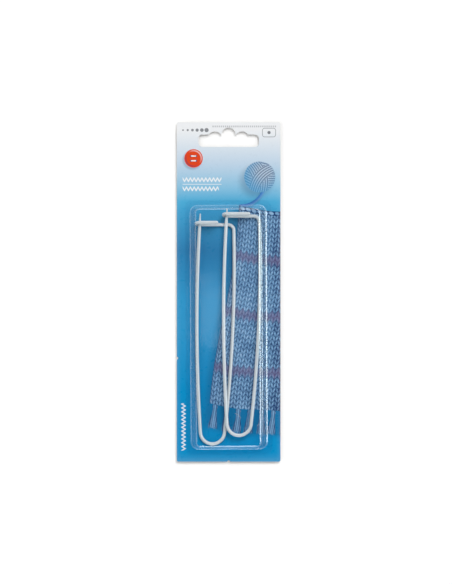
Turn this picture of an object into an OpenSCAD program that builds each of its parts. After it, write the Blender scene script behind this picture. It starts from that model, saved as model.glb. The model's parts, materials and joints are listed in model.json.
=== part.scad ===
// A hang card with a clear blister that holds two wire stitch holders.
// The pack lies on its back: X is across the card, +Y points to its top edge, +Z points out of its face.
// The origin is the centre of the card's back face. Millimetres.

/* [Card] */
// Width of the card
card_w = 55; // [52:0.5:90]
// Height of the card
card_h = 180; // [176:1:240]
// Thickness of the board
card_t = 0.5; // [0.3:0.05:1.5]
// Radius of the card's corners
card_corner_r = 1; // [0.5:0.1:4]
// Radius of the half-round nicks in the card's edges
nick_r = 0.75; // [0.4:0.05:1.5]
// Height of the nick in the side edge, below the middle of the card
side_nick_drop = 35; // [0:1:70]

/* [Hang slot] */
// Length of the slot
slot_w = 32; // [24:0.5:40]
// Height of the slot's straight part
slot_h = 6.6; // [5:0.1:10]
// Distance from the card's top edge to the slot's upper edge
slot_drop = 6.5; // [6:0.1:14]
// Radius of the slot's end corners
slot_corner_r = 2.2; // [0.5:0.1:2.4]
// Radius of the round hump in the middle
hump_r = 3.7; // [2.5:0.1:5]
// Distance from the middle to each small bump
bump_offset = 7.2; // [6.5:0.1:9]
// Half of a small bump's width
bump_half_w = 3.2; // [2:0.1:3.5]
// Height of a small bump
bump_rise = 1.6; // [0.5:0.1:2.2]

/* [Blister] */
// Room between the holders and the pocket's long walls, at its mouth
side_room = 2.4; // [2:0.1:5]
// Room between the left holder's bend and the pocket's lower wall, at its mouth
bend_room = 2.3; // [1.2:0.1:5]
// Room between the right holder's point and the pocket's upper wall, at its mouth
point_room = 1.8; // [1.4:0.1:5]
// Room between the holders and the top of the pocket
head_room = 1.4; // [0.6:0.1:6]
// Distance from the card's bottom edge to the pocket's mouth
pocket_rise = 6.4; // [5:0.1:7]
// How far each long wall leans in over the full depth
side_draft = 3.2; // [1:0.1:3.4]
// How far each end wall leans in over the full depth
end_draft = 1.7; // [0.5:0.1:2]
// Radius of the pocket's corners at its mouth
pocket_corner_r = 4; // [3:0.1:5]
// Size of the rounding along the pocket's top edge
top_edge_r = 1; // [0.4:0.1:1.4]
// Width of the flange around the pocket's mouth
flange_w = 2.6; // [1.5:0.1:4]
// Radius of the flange's outer corners
flange_corner_r = 3.5; // [1:0.1:6]
// Thickness of the plastic sheet
sheet_t = 0.3; // [0.2:0.05:0.5]

/* [Wire] */
// Diameter of the wire
wire_d = 1.8; // [1.4:0.05:2]
// Free space between two wires that lie over each other
layer_gap = 0.2; // [0.1:0.05:0.4]
// Gap between a wire and what it rests on or presses against
rest_gap = 0.1; // [0.05:0.05:0.3]
// Gap between the spring bend and the pin leg's root
root_gap = 0.1; // [0.05:0.05:0.3]

/* [Holder] */
// Radius of the spring bend, to the middle of the wire
bend_r = 6.4; // [5.8:0.1:7]
// Distance along the holder from the bend's centre to the clasp's back run
clasp_reach = 109.6; // [90:0.2:130]
// Radius of the long bow of the pin leg
pin_bow_r = 920; // [800:10:1100]
// Radius of the long bow of the clasp leg
clasp_bow_r = 760; // [700:10:900]
// Radius of the corner from the clasp leg to the back run, to the middle of the wire
corner_r = 3; // [2:0.1:4]
// How far the front run lies further out than the back run
front_offset = 1.1; // [0.6:0.05:1.4]
// Length of the pin's taper, the point included
taper_l = 8; // [4:0.5:12]
// Diameter of the pin's rounded point
point_d = 0.6; // [0.4:0.05:1]

/* [Left holder] */
// Lean of the left pin leg at its root, away from the clasp leg, in degrees
left_pin_angle = 3.6; // [3.2:0.05:4]
// Lean of the left clasp leg at its root, away from the pin leg, in degrees
left_clasp_angle = 6.7; // [6.4:0.05:7]
// Length of the left front run, without its round end
left_front_run_l = 8.6; // [6:0.1:9]
// How far the left pin's point stands out past the clasp's back run
left_point_reach = 5.9; // [4:0.1:6.2]

/* [Right holder] */
// Lean of the right pin leg at its root, away from the clasp leg, in degrees
right_pin_angle = 3.5; // [3.2:0.05:4]
// Lean of the right clasp leg at its root, away from the pin leg, in degrees
right_clasp_angle = 6.45; // [6.2:0.05:6.8]
// Length of the right front run, without its round end
right_front_run_l = 11.2; // [8:0.1:12]
// How far the right pin's point stands out past the clasp's back run
right_point_reach = 4; // [3:0.1:6]

/* [Lie of the holders] */
// How far the right holder's bend lies to the right of the left one's
stagger_x = 14.05; // [13.6:0.05:14.6]
// How far the right holder's bend lies higher up than the left one's
stagger_y = 4.6; // [3.5:0.1:6]
// How far the pair of holders lies off the pocket's middle
pair_shift = -0.2; // [-0.4:0.1:0.4]

/* [Hidden] */
$fn = 64;
bow_facets = 720;
wire_facets = 48;
tip_steps = 6;

wire_r = wire_d / 2;
point_r = point_d / 2;
card_top = card_h / 2;
card_bottom = -card_h / 2;
through = 1;

// The hang slot hangs from the card's top edge.
slot_top = card_top - slot_drop;
slot_bottom = slot_top - slot_h;
hump_sink = 0.1;
hump_y = slot_top - hump_sink;
bump_r = (bump_half_w * bump_half_w + bump_rise * bump_rise) / (2 * bump_rise);
bump_y = slot_top + bump_rise - bump_r;

// The pin leg climbs by one layer from the bend to the clasp.
layer = wire_d + layer_gap;
climb = asin(layer / clasp_reach);

// The hook turns around the pin leg, from the back run up to the front run.
hook_span = sqrt(pow(2 * layer, 2) + pow(front_offset, 2));
hook_r = hook_span / 2;
hook_tilt = atan2(front_offset, 2 * layer);

// Heading of the pin leg at a distance along the holder, and how far across it lies there.
function pin_root_x(lean) = -bend_r * cos(lean);
function pin_root_y(lean) = -bend_r * sin(lean);
function pin_heading(lean, reach) = asin((reach - pin_root_y(lean)) / pin_bow_r - sin(lean));
function pin_x(lean, reach) = pin_root_x(lean)
  + pin_bow_r * (cos(lean) - cos(pin_heading(lean, reach)));

// The pin's radius where it goes through the clasp, within its straight taper.
function taper_start(point_reach) = clasp_reach + point_reach - taper_l;
function clasp_pin_r(point_reach) = point_reach > taper_l
  ? wire_r
  : point_r + (wire_r - point_r) * max(point_reach - point_r, 0) / (taper_l - point_r);

// The pin leg presses outwards into the hook.
function hook_x(lean, point_reach) = pin_x(lean, clasp_reach)
  + hook_r - wire_r - clasp_pin_r(point_reach) - rest_gap;
function hook_edge(lean, point_reach) = hook_x(lean, point_reach) - hook_r - wire_r;

// The clasp leg ends where its corner begins, and the corner starts in the bow's own direction.
function clasp_root_x(lean) = bend_r * cos(lean);
function clasp_root_y(lean) = -bend_r * sin(lean);
function clasp_end_lean(lean) = asin(
  (clasp_bow_r * sin(lean) - (clasp_reach - corner_r - clasp_root_y(lean))) / (clasp_bow_r - corner_r)
);
function clasp_x(lean, heading) = clasp_root_x(lean) + clasp_bow_r * (cos(heading) - cos(lean));
function corner_x(lean) = clasp_x(lean, clasp_end_lean(lean)) - corner_r * cos(clasp_end_lean(lean));
function clasp_edge(lean) = clasp_x(lean, 0) + wire_r;

// The pair of holders lies in the middle of the pocket, with room around it.
pair_left = hook_edge(left_pin_angle, left_point_reach);
pair_right = stagger_x + clasp_edge(right_clasp_angle);
pocket_w = pair_right - pair_left + 2 * side_room;
pair_length = bend_r + wire_r + clasp_reach
  + max(left_point_reach, stagger_y + right_point_reach);
pocket_l = pair_length + bend_room + point_room;
pocket_bottom = card_bottom + pocket_rise;
pocket_mid_y = pocket_bottom + pocket_l / 2;

// The pocket's form is drawn through thin layers, which follow its rounded top edge in steps.
layer_t = 0.01;
edge_steps = 4;
least_corner_r = 0.5;
least_edge_r = 0.1;

// The hooks' middles, across each holder.
left_hook_x = hook_x(left_pin_angle, left_point_reach);
right_hook_x = hook_x(right_pin_angle, right_point_reach);

// Places of the two bend centres. Each wire lies on the one below it.
left_x = pair_shift - (pair_left + pair_right) / 2;
left_y = pocket_bottom + bend_room + wire_r + bend_r;
right_x = left_x + stagger_x;
right_y = left_y + stagger_y;
lie_z = card_t + rest_gap + wire_r;
over_z = lie_z + layer;

// The clasps are the highest part of the holders, three wires over each other.
clasp_top = rest_gap + 2 * layer + wire_d;
pocket_depth = clasp_top + head_room + sheet_t;

// A rectangle with round corners, centred on the origin.
module round_rect(w, h, r) {
  square([w - 2 * r, h], center = true);
  square([w, h - 2 * r], center = true);
  for (x = [-1, 1], y = [-1, 1])
    translate([x * (w / 2 - r), y * (h / 2 - r)])
      circle(r);
}

// One thin layer of the pocket's form, drawn in from the mouth by the walls' draft.
module pocket_layer(z, side_in, end_in, corner) {
  translate([0, pocket_mid_y, card_t + z])
    linear_extrude(layer_t)
      round_rect(pocket_w - 2 * side_in, pocket_l - 2 * end_in, corner);
}

// The pocket's solid form, of one sheet's thickness less when wall is given.
module pocket_form(wall, depth) {
  corner = pocket_corner_r - wall;
  edge_r = max(top_edge_r - wall, least_edge_r);
  slope_side = side_draft / pocket_depth;
  slope_end = end_draft / pocket_depth;
  hull() {
    pocket_layer(wall > 0 ? -through : 0, wall, wall, corner);
    for (i = [0:edge_steps]) {
      turn = 90 * i / edge_steps;
      z = depth - edge_r * (1 - sin(turn));
      edge_in = edge_r * (1 - cos(turn));
      pocket_layer(
        z - layer_t,
        wall + slope_side * z + edge_in,
        wall + slope_end * z + edge_in,
        max(corner - slope_end * z - edge_in, least_corner_r)
      );
    }
  }
}

// A piece of wire bent to a round arc, in the XY plane, from one angle over a turn.
module wire_arc(r, from, turn, facets = $fn) {
  rotate([0, 0, from])
    rotate_extrude(angle = turn, $fn = facets)
      translate([r, 0])
        circle(wire_r, $fn = wire_facets);
}

module hang_card() {
  color("lightskyblue")
    linear_extrude(card_t)
      difference() {
        round_rect(card_w, card_h, card_corner_r);
        translate([0, (slot_top + slot_bottom) / 2])
          round_rect(slot_w, slot_h, slot_corner_r);
        translate([0, hump_y])
          circle(hump_r);
        for (side = [-1, 1])
          translate([side * bump_offset, bump_y])
            intersection() {
              circle(bump_r);
              translate([-bump_r, 0])
                square(2 * bump_r);
            }
        translate([-card_w / 2, -side_nick_drop])
          circle(nick_r);
        translate([0, card_bottom])
          circle(nick_r);
      }
}

module blister() {
  color("aliceblue", 0.35) {
    difference() {
      pocket_form(0, pocket_depth);
      pocket_form(sheet_t, pocket_depth - sheet_t);
    }
    translate([0, pocket_mid_y, card_t])
      linear_extrude(sheet_t)
        difference() {
          round_rect(pocket_w + 2 * flange_w, pocket_l + 2 * flange_w, flange_corner_r);
          round_rect(pocket_w - sheet_t, pocket_l - sheet_t, pocket_corner_r - sheet_t / 2);
        }
  }
}

// The long bowed leg that carries the clasp.
module clasp_leg(lean) {
  bow_x = clasp_root_x(lean) - clasp_bow_r * cos(lean);
  bow_y = clasp_root_y(lean) + clasp_bow_r * sin(lean);
  translate([bow_x, bow_y, 0])
    wire_arc(clasp_bow_r, -lean, lean - clasp_end_lean(lean), bow_facets);
}

// The corner between the clasp leg and the back run.
module clasp_corner(lean) {
  end_lean = clasp_end_lean(lean);
  translate([corner_x(lean), clasp_reach - corner_r, 0])
    wire_arc(corner_r, -end_lean, 90 + end_lean);
}

// The straight run behind the pin leg, from the hook to the corner.
module back_run(from_x, to_x) {
  translate([from_x, clasp_reach, 0])
    rotate([0, 90, 0])
      cylinder(h = to_x - from_x, r = wire_r);
}

// The half turn around the pin leg, from the back run up to the front run.
module hook(from_x) {
  translate([from_x, clasp_reach, 0])
    rotate([90 - hook_tilt, 0, 0])
      translate([0, hook_r, 0])
        wire_arc(hook_r, 90, 180);
}

// The straight run in front of the pin leg, with its round end.
module front_run(from_x, l) {
  translate([from_x, clasp_reach + front_offset, 2 * layer])
    rotate([0, 90, 0])
      rotate_extrude() {
        square([wire_r, l]);
        translate([0, l])
          intersection() {
            circle(wire_r);
            square(wire_r);
          }
      }
}

// The U-shaped bend that is the holder's spring.
module spring_bend(pin_lean, clasp_lean) {
  gap_angle = asin(root_gap / bend_r);
  wire_arc(bend_r, 180 + pin_lean + gap_angle, 180 - pin_lean - clasp_lean - gap_angle);
}

// The bowed leg that the stitches slide onto.
module pin_leg(lean, point_reach) {
  bow_x = pin_root_x(lean) + pin_bow_r * cos(lean);
  bow_y = pin_root_y(lean) + pin_bow_r * sin(lean);
  rotate([climb, 0, 0])
    translate([bow_x, bow_y, 0])
      wire_arc(pin_bow_r, 180 + lean, -lean - pin_heading(lean, taper_start(point_reach)), bow_facets);
}

// The tapered end of the pin leg, which goes through the clasp, with its rounded point.
module pin_point(lean, point_reach) {
  start = taper_start(point_reach);
  rotate([climb, 0, 0])
    translate([pin_x(lean, start), start, 0])
      rotate([-90, 0, -pin_heading(lean, start)])
        rotate_extrude()
          polygon(concat(
            [[0, 0], [wire_r, 0]],
            [for (i = [0:tip_steps - 1])
              let (turn = 90 * i / tip_steps)
                [point_r * cos(turn), taper_l - point_r + point_r * sin(turn)]],
            [[0, taper_l]]
          ));
}

// The left holder lies flat on the card.
module left_place() {
  translate([left_x, left_y, lie_z])
    children();
}

// The right holder's bend lies on the left holder, and its clasp lies on the card.
module right_place() {
  translate([right_x, right_y, over_z])
    rotate([-climb, 0, 0])
      children();
}

module left_clasp_leg() {
  color("gainsboro")
    left_place()
      clasp_leg(left_clasp_angle);
}

module left_clasp_corner() {
  color("gainsboro")
    left_place()
      clasp_corner(left_clasp_angle);
}

module left_back_run() {
  color("gainsboro")
    left_place()
      back_run(left_hook_x, corner_x(left_clasp_angle));
}

module left_hook() {
  color("gainsboro")
    left_place()
      hook(left_hook_x);
}

module left_front_run() {
  color("gainsboro")
    left_place()
      front_run(left_hook_x, left_front_run_l);
}

module left_spring_bend() {
  color("gainsboro")
    left_place()
      spring_bend(left_pin_angle, left_clasp_angle);
}

module left_pin_leg() {
  color("whitesmoke")
    left_place()
      pin_leg(left_pin_angle, left_point_reach);
}

module left_pin_point() {
  color("whitesmoke")
    left_place()
      pin_point(left_pin_angle, left_point_reach);
}

module right_clasp_leg() {
  color("gainsboro")
    right_place()
      clasp_leg(right_clasp_angle);
}

module right_clasp_corner() {
  color("gainsboro")
    right_place()
      clasp_corner(right_clasp_angle);
}

module right_back_run() {
  color("gainsboro")
    right_place()
      back_run(right_hook_x, corner_x(right_clasp_angle));
}

module right_hook() {
  color("gainsboro")
    right_place()
      hook(right_hook_x);
}

module right_front_run() {
  color("gainsboro")
    right_place()
      front_run(right_hook_x, right_front_run_l);
}

module right_spring_bend() {
  color("gainsboro")
    right_place()
      spring_bend(right_pin_angle, right_clasp_angle);
}

module right_pin_leg() {
  color("whitesmoke")
    right_place()
      pin_leg(right_pin_angle, right_point_reach);
}

module right_pin_point() {
  color("whitesmoke")
    right_place()
      pin_point(right_pin_angle, right_point_reach);
}

hang_card();
blister();
left_clasp_leg();
left_clasp_corner();
left_back_run();
left_hook();
left_front_run();
left_spring_bend();
left_pin_leg();
left_pin_point();
right_clasp_leg();
right_clasp_corner();
right_back_run();
right_hook();
right_front_run();
right_spring_bend();
right_pin_leg();
right_pin_point();
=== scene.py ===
"""Dresses a packed hang card, its clear blister and the two wire stitch holders in it."""

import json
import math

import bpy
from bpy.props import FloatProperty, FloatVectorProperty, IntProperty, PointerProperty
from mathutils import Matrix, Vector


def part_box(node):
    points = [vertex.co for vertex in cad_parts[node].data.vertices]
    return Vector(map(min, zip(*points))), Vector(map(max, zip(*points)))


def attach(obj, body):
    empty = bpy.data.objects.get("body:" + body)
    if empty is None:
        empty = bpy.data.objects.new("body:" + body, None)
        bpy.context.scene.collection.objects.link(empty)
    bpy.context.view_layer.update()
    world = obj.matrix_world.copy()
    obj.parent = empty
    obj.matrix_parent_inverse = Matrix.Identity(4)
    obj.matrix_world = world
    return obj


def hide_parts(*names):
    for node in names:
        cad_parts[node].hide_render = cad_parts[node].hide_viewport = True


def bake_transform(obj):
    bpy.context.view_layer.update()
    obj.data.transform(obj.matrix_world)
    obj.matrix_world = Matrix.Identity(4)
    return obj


bl_info = {
    "name": "Stitch Holder Pack",
    "version": (1, 0, 0),
    "blender": (4, 5, 0),
    "location": "View3D > Sidebar > Stitch Holders",
    "description": "Builds a hang card, a clear blister and two wire stitch holders around a packed frame",
    "category": "Object",
}

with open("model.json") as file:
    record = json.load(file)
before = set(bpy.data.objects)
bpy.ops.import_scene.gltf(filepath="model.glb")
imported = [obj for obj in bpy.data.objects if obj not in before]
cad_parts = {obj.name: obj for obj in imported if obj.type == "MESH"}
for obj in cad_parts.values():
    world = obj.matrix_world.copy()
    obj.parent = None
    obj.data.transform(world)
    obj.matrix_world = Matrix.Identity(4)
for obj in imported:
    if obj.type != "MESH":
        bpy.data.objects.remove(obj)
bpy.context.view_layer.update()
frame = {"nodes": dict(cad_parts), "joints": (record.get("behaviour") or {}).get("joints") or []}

MM = 0.001
SIDES = ("left", "right")
PIN_JOINTS = {joint["child"]: joint for joint in frame["joints"]}
BACK_RUN_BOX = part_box("left_back_run")
WIRE_DIAMETER = BACK_RUN_BOX[1].z - BACK_RUN_BOX[0].z
CARD_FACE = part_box("hang_card")[1].z


def unit(angle):
    """The flat direction at an angle."""
    return Vector((math.cos(angle), math.sin(angle)))


def paint(red, green, blue):
    """The linear colour of a screen colour, given from 0 to 255."""
    def linear(channel):
        share = channel / 255
        return share / 12.92 if share <= 0.04045 else ((share + 0.055) / 1.055) ** 2.4
    return (linear(red), linear(green), linear(blue))


def size(name, description, default, low=0):
    """A length that a user can change, in metres."""
    return FloatProperty(
        name=name, description=description, default=default, min=low, unit="LENGTH", precision=5
    )


def turn(name, description, degrees):
    """An angle that a user can change."""
    return FloatProperty(
        name=name, description=description, default=math.radians(degrees), subtype="ANGLE"
    )


def tint(name, description, default):
    """A colour that a user can change."""
    return FloatVectorProperty(
        name=name, description=description, default=default, min=0, max=1, subtype="COLOR"
    )


class CardSettings(bpy.types.PropertyGroup):
    """Colours and sizes of the printed card"""

    top: tint("Top", "Print at the card's top edge", paint(226, 228, 230))
    haze: tint("Haze", "Print below the hang slot", paint(182, 202, 219))
    pale: tint("Pale sky", "Print beside the title", paint(134, 185, 213))
    clear: tint("Clear sky", "Print below the title", paint(74, 164, 204))
    sky: tint("Sky", "Print at the blister's top", paint(64, 154, 198))
    dusk: tint("Dusk", "Print behind the clasps", paint(44, 121, 169))
    blue: tint("Blue", "Print behind the legs", paint(46, 144, 193))
    deep: tint("Deep blue", "Print behind the bends", paint(2, 134, 188))
    strand: tint("Strand", "Loose strand of yarn beside the ball", paint(22, 96, 176))
    foot: tint("Foot", "Print at the card's bottom edge", paint(50, 140, 189))
    board: tint("Board", "Bare board on the back and the edges", paint(224, 222, 216))
    fleck: tint("Fleck", "Darker fibres in the bare board", paint(178, 172, 160))
    ink: tint("Grey ink", "Small motifs beside the hang slot", paint(88, 92, 98))
    yarn: tint("Yarn", "Lit side of the printed yarn", paint(120, 164, 202))
    yarn_shade: tint("Yarn shade", "Gaps between the printed stitches", paint(26, 52, 98))
    stripe: tint("Stripe", "Stripes across the printed knitting", paint(104, 84, 122))
    button: tint("Button", "Printed button", paint(212, 66, 28))
    stitch_width: size("Stitch width", "Width of a printed stitch", 0.0031)
    stitch_height: size("Stitch height", "Height of a printed row of stitches", 0.0025)


class BlisterSettings(bpy.types.PropertyGroup):
    """Sizes of the clear blister"""

    sheet: size("Sheet", "Thickness of the plastic", 0.0003)
    flange: size("Flange", "Width of the flange", 0.0026)
    flange_corner: size("Flange corner", "Radius of the flange's corners", 0.0035)
    corner: size("Corner", "Radius of the pocket's corners at its mouth", 0.004)
    side_draft: size("Side draft", "How far a long wall leans in", 0.00303)
    end_draft: size("End draft", "How far an end wall leans in", 0.0017)
    top_shift: size("Top shift", "How far right of its mouth the pocket's top lies", -0.0003, low=-1)
    top_edge: size("Top edge", "Rounding between the long walls and the top", 0.001)
    end_top_edge: size("End top edge", "Rounding between the end walls and the top", 0.0014)
    fillet: size("Fillet", "Rounding between the long walls and the flange", 0.0007)
    end_fillet: size("End fillet", "Rounding between the end walls and the flange", 0.0003)
    foot_shift: size("Foot shift", "How much more of a flange the pocket's foot has", 0.00035)
    crease: size("Crease", "Depth of the crease in the right wall", 0.00036)
    crease_z: size("Crease height", "How high the crease lies", 0.0053)
    crease_reach: size("Crease reach", "Half the length of the crease", 0.0575)
    skew: turn("Skew", "How far the blister is turned on the card", 0.28)
    wave: size("Wave", "Height of the soft waves in the walls", 0.00004)
    clearance: size("Clearance", "Gap between the flange and the card", 0.00002)
    clear: tint("Clear", "What a flat stretch of the sheet lets through", (0.99, 0.995, 1))
    # Steep stretches let through a darker tint than flat ones: painted shade, for the darkening that
    # refraction in a steep wall gives.
    steep_shade_tint: tint("Smoky", "What a steep stretch of the sheet lets through", (0.82, 0.87, 0.9))
    milky: tint("Milky", "Haze on the steep walls", (0.7, 0.86, 0.95))


class HolderSettings(bpy.types.PropertyGroup):
    """Sizes and colours of the wire stitch holders"""

    wire: size("Wire", "Diameter of the wire", WIRE_DIAMETER)
    layer_gap: size("Layer gap", "Free space between two wires where they cross", 0.0002)
    bend: size("Bend", "Radius of the spring bend", 0.0064)
    reach: size("Reach", "Distance from the bend's centre to the back run", 0.1096)
    pin_bow: size("Pin bow", "Radius of the pin leg's bow", 0.92)
    clasp_bow: size("Clasp bow", "Radius of the clasp leg's bow", 0.76)
    corner: size("Corner", "Radius of the corner at the back run", 0.003)
    front_offset: size("Front offset", "How far the front run lies past the back run", 0.0011)
    taper: size("Taper", "Length of the pin's tapered end", 0.008)
    point: size("Point", "Diameter of the pin's point", 0.0006)
    left_pin_lean: turn("Left pin lean", "Lean of the left pin leg at its root", 3.6)
    right_pin_lean: turn("Right pin lean", "Lean of the right pin leg at its root", 3.5)
    left_clasp_lean: turn("Left clasp lean", "Lean of the left clasp leg at its root", 6.7)
    right_clasp_lean: turn("Right clasp lean", "Lean of the right clasp leg at its root", 6.45)
    left_point_reach: size("Left point reach", "How far the left point stands past the clasp", 0.0059)
    right_point_reach: size("Right point reach", "How far the right point stands past the clasp", 0.004)
    left_run: size("Left front run", "Length of the left front run without its round end", 0.0086)
    right_run: size("Right front run", "Length of the right front run without its round end", 0.0112)
    facets: IntProperty(name="Facets", description="Flat sides around the wire", default=28, min=8)
    pearl: tint("Pearl", "Lacquer on the wire", paint(202, 206, 208))
    dull: tint("Dull lacquer", "Lacquer in the duller patches", paint(184, 186, 188))
    speck: tint("Speck", "Small dark specks in the lacquer", paint(120, 118, 114))
    bare: tint("Bare metal", "Metal where the lacquer is worn", paint(224, 225, 226))


class StudioSettings(bpy.types.PropertyGroup):
    """Camera, floor and lights"""

    distance: size("Camera distance", "Height of the camera above the card", 1.2)
    framed: size("Framed height", "Height of the card's plane that the picture shows", 0.3095)
    camera_x: size("Camera X", "Where the camera stands across the card", -0.0014, low=-1)
    floor_gap: size("Floor gap", "How far the floor lies below the card", 0.0009)
    floor: tint("Floor", "Colour of the floor", (0.95, 0.95, 0.95))
    fill: FloatProperty(name="Fill", description="Strength of the light from all round", default=1.25)
    key: FloatProperty(name="Key", description="Strength of the main lamp", default=2.0)
    side: FloatProperty(name="Side", description="Strength of the lamp at the left", default=0.5)
    ceiling: FloatProperty(name="Ceiling", description="Brightness of the panel overhead", default=2.1)
    key_width: turn("Key width", "How wide the main lamp looks from the card", 34)


def maths_method(operation, reflected=False):
    """A method that adds a Math node. Where it is reflected, the value is the second operand."""
    def work_out(value, *others):
        operands = (*others, value) if reflected else (value, *others)
        return value.node("ShaderNodeMath", {"operation": operation}, dict(enumerate(operands)))
    return work_out


class Value:
    """A socket in a node tree. An expression on it adds the nodes that work it out."""

    __add__ = __radd__ = maths_method("ADD")
    __mul__ = __rmul__ = maths_method("MULTIPLY")
    __sub__ = maths_method("SUBTRACT")
    __rsub__ = maths_method("SUBTRACT", reflected=True)
    __truediv__ = maths_method("DIVIDE")
    __pow__ = maths_method("POWER")
    __mod__ = maths_method("FLOORED_MODULO")
    __abs__ = maths_method("ABSOLUTE")

    def __init__(self, tree, socket):
        self.tree = tree
        self.socket = socket

    def __neg__(self):
        return self * -1

    def node(self, kind, settings=None, inputs=None, output=0):
        """A new node: its settings are set first, then the values or links of its sockets."""
        made = self.tree.nodes.new(kind)
        for name, setting in (settings or {}).items():
            if name == "stops":
                set_stops(made.color_ramp, setting)
            else:
                setattr(made, name, setting)
        for key, value in (inputs or {}).items():
            if isinstance(value, Value):
                self.tree.links.new(value.socket, made.inputs[key])
            else:
                made.inputs[key].default_value = value
        return Value(self.tree, made.outputs[output]) if made.outputs else None

    def other(self, output):
        """Another output of the node that this value comes from."""
        return Value(self.tree, self.socket.node.outputs[output])

    def maths(self, operation, *others):
        """What a Math node makes of this value and others."""
        return maths_method(operation)(self, *others)

    def parts(self):
        """The three parts of a vector."""
        first = self.node("ShaderNodeSeparateXYZ", None, {0: self})
        return first, first.other("Y"), first.other("Z")

    def rise(self, low, high):
        """0 below low, 1 above high, and smooth between them. High may be the lower one."""
        start, end = sorted((low, high))
        inputs = {"Value": self, "From Min": start, "From Max": end}
        rising = self.node("ShaderNodeMapRange", {"interpolation_type": "SMOOTHSTEP"}, inputs)
        return 1 - rising if high < low else rising

    def within(self, low, high, soft):
        """1 between low and high, with soft edges."""
        return self.rise(low - soft, low + soft) * self.rise(high + soft, high - soft)

    def paint_over(self, under, over):
        """The colour under, painted over by the other colour where this value is 1."""
        colours = [c if isinstance(c, Value) else (*c, 1) for c in (under, over)]
        inputs = {0: self, 6: colours[0], 7: colours[1]}
        return self.node("ShaderNodeMix", {"data_type": "RGBA"}, inputs, output=2)


def set_stops(ramp, stops):
    """Gives a colour ramp its stops, each a position and a colour."""
    while len(ramp.elements) < len(stops):
        ramp.elements.new(0.5)
    for element, (position, colour) in zip(ramp.elements, stops):
        element.position = position
        element.color = (*colour, 1)


def emptied(owner, coordinates):
    """Coordinates in the emptied node tree of a material or the world."""
    owner.use_nodes = True
    tree = owner.node_tree
    tree.nodes.clear()
    return Value(tree, tree.nodes.new("ShaderNodeTexCoord").outputs[coordinates])


def new_material(name):
    """An empty node material and its Object coordinates."""
    material = bpy.data.materials.new(name)
    return material, emptied(material, "Object")


def finish_material(material, shader):
    """Sends a shader to the material's output."""
    shader.node("ShaderNodeOutputMaterial", None, {"Surface": shader})
    return material


def painted(colour, *layers):
    """A colour under layers of paint, each given as a mask, its strength and its colour."""
    for mask, strength, paint_colour in layers:
        colour = (mask * strength).paint_over(colour, paint_colour)
    return colour


# Repeats a metre, octaves and roughness of each noise. The drawn lines repeat over the wire's own ring.
NOISES = {
    "board fibres": (2600, 4, 0.65), "board flecks": (700, 2, 0.5), "coating": (420, 3, 0.5),
    "heather": (1100, 3, 0.7), "yarn patches": (260, 1, 0.5), "folds": (60, 2, 0.5),
    "frayed ends": (1800, 1, 0.5), "loose fibres": (900, 2, 0.5), "ragged edge": (1200, 1, 0.5),
    "drawn lines": (9, 3, 0.6), "mottle": (350, 3, 0.5), "specks": (2400, 1, 0.5),
    "wear": (160, 4, 0.7), "sheet": (45, 1, 0.5), "paper": (30, 2, 0.5),
}


def noise(place, name):
    """Soft noise from 0 to 1."""
    scale, detail, roughness = NOISES[name]
    inputs = {"Vector": place, "Scale": scale, "Detail": detail, "Roughness": roughness}
    return place.node("ShaderNodeTexNoise", None, inputs)


def bump(height, depth, strength=1.0):
    """A bumped normal. The height is from 0 to 1, and the depth is in metres."""
    inputs = {"Height": height, "Distance": depth, "Strength": strength}
    return height.node("ShaderNodeBump", None, inputs)


def turned(x, y, centre, degrees):
    """The two coordinates about a centre, turned."""
    cosine, sine = unit(math.radians(degrees))
    right = x - centre[0]
    up = y - centre[1]
    return right * cosine - up * sine, right * sine + up * cosine


def distance(x, y):
    """Distance from the origin of two coordinates."""
    return (x * x + y * y).maths("SQRT")


# The print on the card, in millimetres from the card's middle

EDGE_SOFTNESS = 0.12
CARD_OUTLINE = (-27.5, 27.5, -90.0, 90.0)
SCARF_CENTRE = (5.5, 46.0)
SCARF_LEAN = 8.0
SCARF_LENGTH = 106.0
STRIPE_ROWS = 12
FRINGE_LENGTH = 13.0
BALL_CENTRE = (16.5, 61.0)
BALL_RADIUS = 8.2
BALL_PITCH = 1.25
# Each layer of strands: its lean in degrees, and how much of the ball's radius it covers
BALL_LAYERS = ((15, 2.0), (75, 0.52), (-50, 0.36))
BUTTON_CENTRE = (-18.6, 70.8)
BUTTON_RADIUS = 4.9
BUTTON_HOLE = 1.25
ZIGZAG_PITCH = 2.05
ZIGZAG_WEIGHT = 0.32
TITLE_ROWS = ((-24.4, -3.8, 58.2, 60.8), (-24.4, -5.2, 53.4, 56.0))
RULE_BOX = (-24.4, -3.8, 56.9, 57.25)
SIDE_ROW = (-84.0, -59.0, 22.6, 25.2)
DOT_ROW = (-24.2, 85.8)
DOT_COUNT = 6
DOT_PITCH = 2.5
FIRST_DOT = 0.45
DOT_GROWTH = 0.13
DASH_PITCH = 1.1
DASH_SHARE = 0.6
FINE_PRINT_BOX = (-8.8, 25.4, 87.3, 88.2)
MARK_BOX = (17.9, 24.9, 82.2, 86.8)


def box_mask(x, y, box, soft=EDGE_SOFTNESS):
    """1 inside a box that is given as left, right, low and high."""
    left, right, low, high = box
    return x.within(left, right, soft) * y.within(low, high, soft)


def round_box(x, y, box, corner):
    """Distance from the outline of a box with round corners, below 0 inside it."""
    left, right, low, high = box
    beyond_x = abs(x - (left + right) / 2) - ((right - left) / 2 - corner)
    beyond_y = abs(y - (low + high) / 2) - ((high - low) / 2 - corner)
    return distance(beyond_x.maths("MAXIMUM", 0), beyond_y.maths("MAXIMUM", 0)) - corner


def zigzag(x, y, box):
    """A row of zigzag stitches that fills a box."""
    left, _, low, high = box
    across = abs(((x - left) / ZIGZAG_PITCH) % 1 - 0.5) * 2
    up = (y - low) / (high - low)
    arm = abs(up - 0.15 - across * 0.7)
    return arm.rise(ZIGZAG_WEIGHT, ZIGZAG_WEIGHT / 2) * box_mask(x, y, box)


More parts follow.
